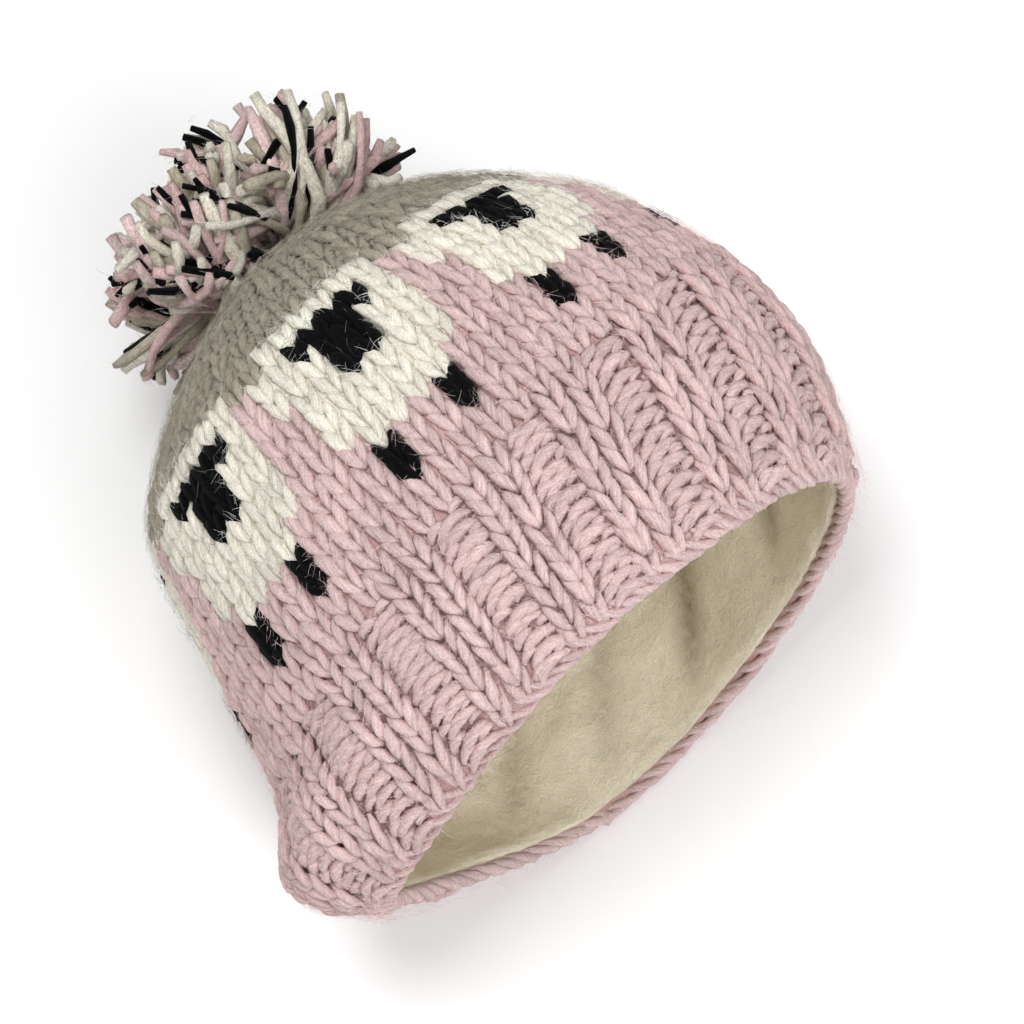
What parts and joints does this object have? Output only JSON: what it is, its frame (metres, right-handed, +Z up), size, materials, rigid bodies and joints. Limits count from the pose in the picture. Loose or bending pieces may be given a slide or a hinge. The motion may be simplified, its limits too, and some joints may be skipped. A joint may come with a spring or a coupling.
{
  "type": "bobble hat",
  "caption": "Chunky hand-knitted pink wool hat with a ribbed band, a ring of cream sheep, a grey crown, a fleece lining and a mixed yarn pompom, lying on its side.",
  "frame": {"origin": "bottom centre of the whole hat's bounding box, on the plane it lies on", "axes": "+Z up from the plane the hat lies on; +Y along the hat, from its opening to the pompom; +X across it"},
  "size_m": [0.2108, 0.2178, 0.1744],
  "materials": {
    "wool": "matt",
    "fleece": "matt",
    "pompom_yarn": "matt"
  },
  "bodies": {
    "root": {"knit_cover": "wool", "fleece_lining": "fleece", "pompom": "pompom_yarn"}
  },
  "joints": []
}
